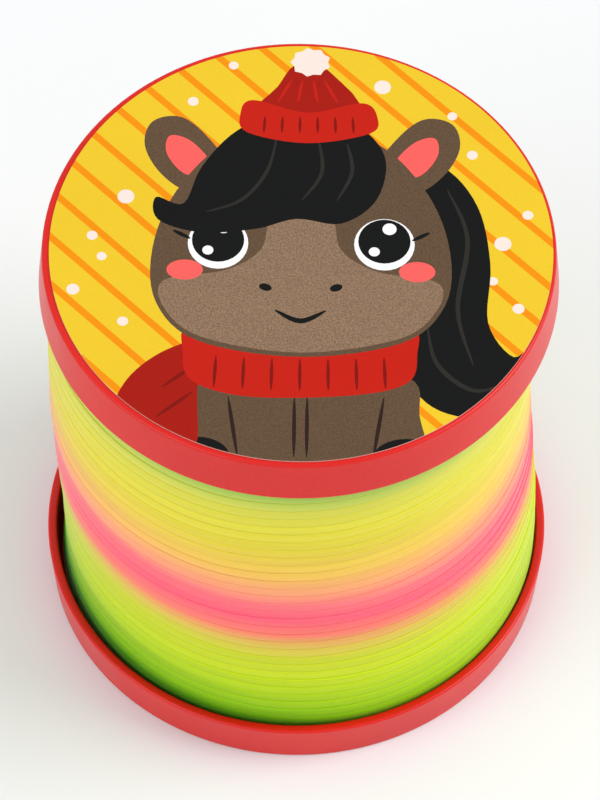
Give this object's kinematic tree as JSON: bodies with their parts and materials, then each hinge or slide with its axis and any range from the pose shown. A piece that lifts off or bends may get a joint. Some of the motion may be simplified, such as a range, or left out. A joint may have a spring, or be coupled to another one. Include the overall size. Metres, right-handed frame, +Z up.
{
  "type": "spring coil toy",
  "caption": "Rainbow plastic spring coil with a round cap on each end and a printed label on the top cap; it stretches and bends into an arch.",
  "frame": {"origin": "centre of the flat face that the toy stands on", "axes": "+Z up along the coil's axis, -Y towards the front of the label's picture"},
  "size_m": [0.0806, 0.0806, 0.0852],
  "materials": {
    "cap": "glossy injection moulded polystyrene",
    "label": "printed coated paper, self-adhesive",
    "coil_green": "translucent plastic strip, green",
    "coil_lime": "translucent plastic strip, lime",
    "coil_yellow": "translucent plastic strip, yellow",
    "coil_orange": "translucent plastic strip, orange",
    "coil_pink": "translucent plastic strip, pink",
    "coil_mint": "translucent plastic strip, minty green"
  },
  "bodies": {
    "base": {"bottom_cap": "cap", "coil_foot": "coil_green"},
    "turn_01": {"half_turn_01": "coil_lime"},
    "turn_02": {"half_turn_02": "coil_lime"},
    "turn_03": {"half_turn_03": "coil_lime"},
    "turn_04": {"half_turn_04": "coil_lime"},
    "turn_05": {"half_turn_05": "coil_lime"},
    "turn_06": {"half_turn_06": "coil_lime"},
    "turn_07": {"half_turn_07": "coil_lime"},
    "turn_08": {"half_turn_08": "coil_yellow"},
    "turn_09": {"half_turn_09": "coil_yellow"},
    "turn_10": {"half_turn_10": "coil_yellow"},
    "turn_11": {"half_turn_11": "coil_yellow"},
    "turn_12": {"half_turn_12": "coil_yellow"},
    "turn_13": {"half_turn_13": "coil_yellow"},
    "turn_14": {"half_turn_14": "coil_yellow"},
    "turn_15": {"half_turn_15": "coil_yellow"},
    "turn_16": {"half_turn_16": "coil_orange"},
    "turn_17": {"half_turn_17": "coil_orange"},
    "turn_18": {"half_turn_18": "coil_orange"},
    "turn_19": {"half_turn_19": "coil_orange"},
    "turn_20": {"half_turn_20": "coil_orange"},
    "turn_21": {"half_turn_21": "coil_orange"},
    "turn_22": {"half_turn_22": "coil_orange"},
    "turn_23": {"half_turn_23": "coil_orange"},
    "turn_24": {"half_turn_24": "coil_pink"},
    "turn_25": {"half_turn_25": "coil_pink"},
    "turn_26": {"half_turn_26": "coil_pink"},
    "turn_27": {"half_turn_27": "coil_pink"},
    "turn_28": {"half_turn_28": "coil_pink"},
    "turn_29": {"half_turn_29": "coil_pink"},
    "turn_30": {"half_turn_30": "coil_pink"},
    "turn_31": {"half_turn_31": "coil_pink"},
    "turn_32": {"half_turn_32": "coil_orange"},
    "turn_33": {"half_turn_33": "coil_orange"},
    "turn_34": {"half_turn_34": "coil_orange"},
    "turn_35": {"half_turn_35": "coil_orange"},
    "turn_36": {"half_turn_36": "coil_orange"},
    "turn_37": {"half_turn_37": "coil_orange"},
    "turn_38": {"half_turn_38": "coil_orange"},
    "turn_39": {"half_turn_39": "coil_orange"},
    "turn_40": {"half_turn_40": "coil_yellow"},
    "turn_41": {"half_turn_41": "coil_yellow"},
    "turn_42": {"half_turn_42": "coil_yellow"},
    "turn_43": {"half_turn_43": "coil_yellow"},
    "turn_44": {"half_turn_44": "coil_yellow"},
    "turn_45": {"half_turn_45": "coil_yellow"},
    "turn_46": {"half_turn_46": "coil_yellow"},
    "turn_47": {"half_turn_47": "coil_yellow"},
    "turn_48": {"half_turn_48": "coil_yellow"},
    "turn_49": {"half_turn_49": "coil_yellow"},
    "turn_50": {"half_turn_50": "coil_yellow"},
    "turn_51": {"half_turn_51": "coil_yellow"},
    "turn_52": {"half_turn_52": "coil_yellow"},
    "turn_53": {"half_turn_53": "coil_yellow"},
    "top": {"coil_head": "coil_mint", "top_cap": "cap", "label": "label"}
  },
  "joints": [
    {"name": "flex_front_01", "type": "hinge", "parent": "base", "child": "turn_01", "pos_m": [0, -0.0381, 0.0132], "axis": [1, 0, 0], "range_deg": [0, 6.67], "stiffness_Nm_per_rad": 0.06},
    {"name": "flex_back_01", "type": "hinge", "parent": "turn_01", "child": "turn_02", "pos_m": [0, 0.0381, 0.01431], "axis": [-1, 0, 0], "range_deg": [0, 6.67], "stiffness_Nm_per_rad": 0.06},
    {"name": "flex_front_02", "type": "hinge", "parent": "turn_02", "child": "turn_03", "pos_m": [0, -0.0381, 0.01542], "axis": [1, 0, 0], "range_deg": [0, 6.67], "stiffness_Nm_per_rad": 0.06},
    {"name": "flex_back_02", "type": "hinge", "parent": "turn_03", "child": "turn_04", "pos_m": [0, 0.0381, 0.01652], "axis": [-1, 0, 0], "range_deg": [0, 6.67], "stiffness_Nm_per_rad": 0.06},
    {"name": "flex_front_03", "type": "hinge", "parent": "turn_04", "child": "turn_05", "pos_m": [0, -0.0381, 0.01763], "axis": [1, 0, 0], "range_deg": [0, 6.67], "stiffness_Nm_per_rad": 0.06},
    {"name": "flex_back_03", "type": "hinge", "parent": "turn_05", "child": "turn_06", "pos_m": [0, 0.0381, 0.01873], "axis": [-1, 0, 0], "range_deg": [0, 6.67], "stiffness_Nm_per_rad": 0.06},
    {"name": "flex_front_04", "type": "hinge", "parent": "turn_06", "child": "turn_07", "pos_m": [0, -0.0381, 0.01984], "axis": [1, 0, 0], "range_deg": [0, 6.67], "stiffness_Nm_per_rad": 0.06},
    {"name": "flex_back_04", "type": "hinge", "parent": "turn_07", "child": "turn_08", "pos_m": [0, 0.0381, 0.02094], "axis": [-1, 0, 0], "range_deg": [0, 6.67], "stiffness_Nm_per_rad": 0.06},
    {"name": "flex_front_05", "type": "hinge", "parent": "turn_08", "child": "turn_09", "pos_m": [0, -0.0381, 0.02205], "axis": [1, 0, 0], "range_deg": [0, 6.67], "stiffness_Nm_per_rad": 0.06},
    {"name": "flex_back_05", "type": "hinge", "parent": "turn_09", "child": "turn_10", "pos_m": [0, 0.0381, 0.02315], "axis": [-1, 0, 0], "range_deg": [0, 6.67], "stiffness_Nm_per_rad": 0.06},
    {"name": "flex_front_06", "type": "hinge", "parent": "turn_10", "child": "turn_11", "pos_m": [0, -0.0381, 0.02426], "axis": [1, 0, 0], "range_deg": [0, 6.67], "stiffness_Nm_per_rad": 0.06},
    {"name": "flex_back_06", "type": "hinge", "parent": "turn_11", "child": "turn_12", "pos_m": [0, 0.0381, 0.02536], "axis": [-1, 0, 0], "range_deg": [0, 6.67], "stiffness_Nm_per_rad": 0.06},
    {"name": "flex_front_07", "type": "hinge", "parent": "turn_12", "child": "turn_13", "pos_m": [0, -0.0381, 0.02647], "axis": [1, 0, 0], "range_deg": [0, 6.67], "stiffness_Nm_per_rad": 0.06},
    {"name": "flex_back_07", "type": "hinge", "parent": "turn_13", "child": "turn_14", "pos_m": [0, 0.0381, 0.02758], "axis": [-1, 0, 0], "range_deg": [0, 6.67], "stiffness_Nm_per_rad": 0.06},
    {"name": "flex_front_08", "type": "hinge", "parent": "turn_14", "child": "turn_15", "pos_m": [0, -0.0381, 0.02868], "axis": [1, 0, 0], "range_deg": [0, 6.67], "stiffness_Nm_per_rad": 0.06},
    {"name": "flex_back_08", "type": "hinge", "parent": "turn_15", "child": "turn_16", "pos_m": [0, 0.0381, 0.02979], "axis": [-1, 0, 0], "range_deg": [0, 6.67], "stiffness_Nm_per_rad": 0.06},
    {"name": "flex_front_09", "type": "hinge", "parent": "turn_16", "child": "turn_17", "pos_m": [0, -0.0381, 0.03089], "axis": [1, 0, 0], "range_deg": [0, 6.67], "stiffness_Nm_per_rad": 0.06},
    {"name": "flex_back_09", "type": "hinge", "parent": "turn_17", "child": "turn_18", "pos_m": [0, 0.0381, 0.032], "axis": [-1, 0, 0], "range_deg": [0, 6.67], "stiffness_Nm_per_rad": 0.06},
    {"name": "flex_front_10", "type": "hinge", "parent": "turn_18", "child": "turn_19", "pos_m": [0, -0.0381, 0.0331], "axis": [1, 0, 0], "range_deg": [0, 6.67], "stiffness_Nm_per_rad": 0.06},
    {"name": "flex_back_10", "type": "hinge", "parent": "turn_19", "child": "turn_20", "pos_m": [0, 0.0381, 0.03421], "axis": [-1, 0, 0], "range_deg": [0, 6.67], "stiffness_Nm_per_rad": 0.06},
    {"name": "flex_front_11", "type": "hinge", "parent": "turn_20", "child": "turn_21", "pos_m": [0, -0.0381, 0.03531], "axis": [1, 0, 0], "range_deg": [0, 6.67], "stiffness_Nm_per_rad": 0.06},
    {"name": "flex_back_11", "type": "hinge", "parent": "turn_21", "child": "turn_22", "pos_m": [0, 0.0381, 0.03642], "axis": [-1, 0, 0], "range_deg": [0, 6.67], "stiffness_Nm_per_rad": 0.06},
    {"name": "flex_front_12", "type": "hinge", "parent": "turn_22", "child": "turn_23", "pos_m": [0, -0.0381, 0.03753], "axis": [1, 0, 0], "range_deg": [0, 6.67], "stiffness_Nm_per_rad": 0.06},
    {"name": "flex_back_12", "type": "hinge", "parent": "turn_23", "child": "turn_24", "pos_m": [0, 0.0381, 0.03863], "axis": [-1, 0, 0], "range_deg": [0, 6.67], "stiffness_Nm_per_rad": 0.06},
    {"name": "flex_front_13", "type": "hinge", "parent": "turn_24", "child": "turn_25", "pos_m": [0, -0.0381, 0.03974], "axis": [1, 0, 0], "range_deg": [0, 6.67], "stiffness_Nm_per_rad": 0.06},
    {"name": "flex_back_13", "type": "hinge", "parent": "turn_25", "child": "turn_26", "pos_m": [0, 0.0381, 0.04084], "axis": [-1, 0, 0], "range_deg": [0, 6.67], "stiffness_Nm_per_rad": 0.06},
    {"name": "flex_front_14", "type": "hinge", "parent": "turn_26", "child": "turn_27", "pos_m": [0, -0.0381, 0.04195], "axis": [1, 0, 0], "range_deg": [0, 6.67], "stiffness_Nm_per_rad": 0.06},
    {"name": "flex_back_14", "type": "hinge", "parent": "turn_27", "child": "turn_28", "pos_m": [0, 0.0381, 0.04305], "axis": [-1, 0, 0], "range_deg": [0, 6.67], "stiffness_Nm_per_rad": 0.06},
    {"name": "flex_front_15", "type": "hinge", "parent": "turn_28", "child": "turn_29", "pos_m": [0, -0.0381, 0.04416], "axis": [1, 0, 0], "range_deg": [0, 6.67], "stiffness_Nm_per_rad": 0.06},
    {"name": "flex_back_15", "type": "hinge", "parent": "turn_29", "child": "turn_30", "pos_m": [0, 0.0381, 0.04526], "axis": [-1, 0, 0], "range_deg": [0, 6.67], "stiffness_Nm_per_rad": 0.06},
    {"name": "flex_front_16", "type": "hinge", "parent": "turn_30", "child": "turn_31", "pos_m": [0, -0.0381, 0.04637], "axis": [1, 0, 0], "range_deg": [0, 6.67], "stiffness_Nm_per_rad": 0.06},
    {"name": "flex_back_16", "type": "hinge", "parent": "turn_31", "child": "turn_32", "pos_m": [0, 0.0381, 0.04748], "axis": [-1, 0, 0], "range_deg": [0, 6.67], "stiffness_Nm_per_rad": 0.06},
    {"name": "flex_front_17", "type": "hinge", "parent": "turn_32", "child": "turn_33", "pos_m": [0, -0.0381, 0.04858], "axis": [1, 0, 0], "range_deg": [0, 6.67], "stiffness_Nm_per_rad": 0.06},
    {"name": "flex_back_17", "type": "hinge", "parent": "turn_33", "child": "turn_34", "pos_m": [0, 0.0381, 0.04969], "axis": [-1, 0, 0], "range_deg": [0, 6.67], "stiffness_Nm_per_rad": 0.06},
    {"name": "flex_front_18", "type": "hinge", "parent": "turn_34", "child": "turn_35", "pos_m": [0, -0.0381, 0.05079], "axis": [1, 0, 0], "range_deg": [0, 6.67], "stiffness_Nm_per_rad": 0.06},
    {"name": "flex_back_18", "type": "hinge", "parent": "turn_35", "child": "turn_36", "pos_m": [0, 0.0381, 0.0519], "axis": [-1, 0, 0], "range_deg": [0, 6.67], "stiffness_Nm_per_rad": 0.06},
    {"name": "flex_front_19", "type": "hinge", "parent": "turn_36", "child": "turn_37", "pos_m": [0, -0.0381, 0.053], "axis": [1, 0, 0], "range_deg": [0, 6.67], "stiffness_Nm_per_rad": 0.06},
    {"name": "flex_back_19", "type": "hinge", "parent": "turn_37", "child": "turn_38", "pos_m": [0, 0.0381, 0.05411], "axis": [-1, 0, 0], "range_deg": [0, 6.67], "stiffness_Nm_per_rad": 0.06},
    {"name": "flex_front_20", "type": "hinge", "parent": "turn_38", "child": "turn_39", "pos_m": [0, -0.0381, 0.05521], "axis": [1, 0, 0], "range_deg": [0, 6.67], "stiffness_Nm_per_rad": 0.06},
    {"name": "flex_back_20", "type": "hinge", "parent": "turn_39", "child": "turn_40", "pos_m": [0, 0.0381, 0.05632], "axis": [-1, 0, 0], "range_deg": [0, 6.67], "stiffness_Nm_per_rad": 0.06},
    {"name": "flex_front_21", "type": "hinge", "parent": "turn_40", "child": "turn_41", "pos_m": [0, -0.0381, 0.05742], "axis": [1, 0, 0], "range_deg": [0, 6.67], "stiffness_Nm_per_rad": 0.06},
    {"name": "flex_back_21", "type": "hinge", "parent": "turn_41", "child": "turn_42", "pos_m": [0, 0.0381, 0.05853], "axis": [-1, 0, 0], "range_deg": [0, 6.67], "stiffness_Nm_per_rad": 0.06},
    {"name": "flex_front_22", "type": "hinge", "parent": "turn_42", "child": "turn_43", "pos_m": [0, -0.0381, 0.05964], "axis": [1, 0, 0], "range_deg": [0, 6.67], "stiffness_Nm_per_rad": 0.06},
    {"name": "flex_back_22", "type": "hinge", "parent": "turn_43", "child": "turn_44", "pos_m": [0, 0.0381, 0.06074], "axis": [-1, 0, 0], "range_deg": [0, 6.67], "stiffness_Nm_per_rad": 0.06},
    {"name": "flex_front_23", "type": "hinge", "parent": "turn_44", "child": "turn_45", "pos_m": [0, -0.0381, 0.06185], "axis": [1, 0, 0], "range_deg": [0, 6.67], "stiffness_Nm_per_rad": 0.06},
    {"name": "flex_back_23", "type": "hinge", "parent": "turn_45", "child": "turn_46", "pos_m": [0, 0.0381, 0.06295], "axis": [-1, 0, 0], "range_deg": [0, 6.67], "stiffness_Nm_per_rad": 0.06},
    {"name": "flex_front_24", "type": "hinge", "parent": "turn_46", "child": "turn_47", "pos_m": [0, -0.0381, 0.06406], "axis": [1, 0, 0], "range_deg": [0, 6.67], "stiffness_Nm_per_rad": 0.06},
    {"name": "flex_back_24", "type": "hinge", "parent": "turn_47", "child": "turn_48", "pos_m": [0, 0.0381, 0.06516], "axis": [-1, 0, 0], "range_deg": [0, 6.67], "stiffness_Nm_per_rad": 0.06},
    {"name": "flex_front_25", "type": "hinge", "parent": "turn_48", "child": "turn_49", "pos_m": [0, -0.0381, 0.06627], "axis": [1, 0, 0], "range_deg": [0, 6.67], "stiffness_Nm_per_rad": 0.06},
    {"name": "flex_back_25", "type": "hinge", "parent": "turn_49", "child": "turn_50", "pos_m": [0, 0.0381, 0.06737], "axis": [-1, 0, 0], "range_deg": [0, 6.67], "stiffness_Nm_per_rad": 0.06},
    {"name": "flex_front_26", "type": "hinge", "parent": "turn_50", "child": "turn_51", "pos_m": [0, -0.0381, 0.06848], "axis": [1, 0, 0], "range_deg": [0, 6.67], "stiffness_Nm_per_rad": 0.06},
    {"name": "flex_back_26", "type": "hinge", "parent": "turn_51", "child": "turn_52", "pos_m": [0, 0.0381, 0.06958], "axis": [-1, 0, 0], "range_deg": [0, 6.67], "stiffness_Nm_per_rad": 0.06},
    {"name": "flex_front_27", "type": "hinge", "parent": "turn_52", "child": "turn_53", "pos_m": [0, -0.0381, 0.07069], "axis": [1, 0, 0], "range_deg": [0, 6.67], "stiffness_Nm_per_rad": 0.06},
    {"name": "flex_back_27", "type": "hinge", "parent": "turn_53", "child": "top", "pos_m": [0, 0.0381, 0.07179], "axis": [-1, 0, 0], "range_deg": [0, 6.67], "stiffness_Nm_per_rad": 0.06}
  ],
  "couplings": [
    {"joint": "flex_front_02", "follows": "flex_front_01", "ratio": 1},
    {"joint": "flex_back_02", "follows": "flex_back_01", "ratio": 1},
    {"joint": "flex_front_03", "follows": "flex_front_01", "ratio": 1},
    {"joint": "flex_back_03", "follows": "flex_back_01", "ratio": 1},
    {"joint": "flex_front_04", "follows": "flex_front_01", "ratio": 1},
    {"joint": "flex_back_04", "follows": "flex_back_01", "ratio": 1},
    {"joint": "flex_front_05", "follows": "flex_front_01", "ratio": 1},
    {"joint": "flex_back_05", "follows": "flex_back_01", "ratio": 1},
    {"joint": "flex_front_06", "follows": "flex_front_01", "ratio": 1},
    {"joint": "flex_back_06", "follows": "flex_back_01", "ratio": 1},
    {"joint": "flex_front_07", "follows": "flex_front_01", "ratio": 1},
    {"joint": "flex_back_07", "follows": "flex_back_01", "ratio": 1},
    {"joint": "flex_front_08", "follows": "flex_front_01", "ratio": 1},
    {"joint": "flex_back_08", "follows": "flex_back_01", "ratio": 1},
    {"joint": "flex_front_09", "follows": "flex_front_01", "ratio": 1},
    {"joint": "flex_back_09", "follows": "flex_back_01", "ratio": 1},
    {"joint": "flex_front_10", "follows": "flex_front_01", "ratio": 1},
    {"joint": "flex_back_10", "follows": "flex_back_01", "ratio": 1},
    {"joint": "flex_front_11", "follows": "flex_front_01", "ratio": 1},
    {"joint": "flex_back_11", "follows": "flex_back_01", "ratio": 1},
    {"joint": "flex_front_12", "follows": "flex_front_01", "ratio": 1},
    {"joint": "flex_back_12", "follows": "flex_back_01", "ratio": 1},
    {"joint": "flex_front_13", "follows": "flex_front_01", "ratio": 1},
    {"joint": "flex_back_13", "follows": "flex_back_01", "ratio": 1},
    {"joint": "flex_front_14", "follows": "flex_front_01", "ratio": 1},
    {"joint": "flex_back_14", "follows": "flex_back_01", "ratio": 1},
    {"joint": "flex_front_15", "follows": "flex_front_01", "ratio": 1},
    {"joint": "flex_back_15", "follows": "flex_back_01", "ratio": 1},
    {"joint": "flex_front_16", "follows": "flex_front_01", "ratio": 1},
    {"joint": "flex_back_16", "follows": "flex_back_01", "ratio": 1},
    {"joint": "flex_front_17", "follows": "flex_front_01", "ratio": 1},
    {"joint": "flex_back_17", "follows": "flex_back_01", "ratio": 1},
    {"joint": "flex_front_18", "follows": "flex_front_01", "ratio": 1},
    {"joint": "flex_back_18", "follows": "flex_back_01", "ratio": 1},
    {"joint": "flex_front_19", "follows": "flex_front_01", "ratio": 1},
    {"joint": "flex_back_19", "follows": "flex_back_01", "ratio": 1},
    {"joint": "flex_front_20", "follows": "flex_front_01", "ratio": 1},
    {"joint": "flex_back_20", "follows": "flex_back_01", "ratio": 1},
    {"joint": "flex_front_21", "follows": "flex_front_01", "ratio": 1},
    {"joint": "flex_back_21", "follows": "flex_back_01", "ratio": 1},
    {"joint": "flex_front_22", "follows": "flex_front_01", "ratio": 1},
    {"joint": "flex_back_22", "follows": "flex_back_01", "ratio": 1},
    {"joint": "flex_front_23", "follows": "flex_front_01", "ratio": 1},
    {"joint": "flex_back_23", "follows": "flex_back_01", "ratio": 1},
    {"joint": "flex_front_24", "follows": "flex_front_01", "ratio": 1},
    {"joint": "flex_back_24", "follows": "flex_back_01", "ratio": 1},
    {"joint": "flex_front_25", "follows": "flex_front_01", "ratio": 1},
    {"joint": "flex_back_25", "follows": "flex_back_01", "ratio": 1},
    {"joint": "flex_front_26", "follows": "flex_front_01", "ratio": 1},
    {"joint": "flex_back_26", "follows": "flex_back_01", "ratio": 1},
    {"joint": "flex_front_27", "follows": "flex_front_01", "ratio": 1},
    {"joint": "flex_back_27", "follows": "flex_back_01", "ratio": 1}
  ]
}
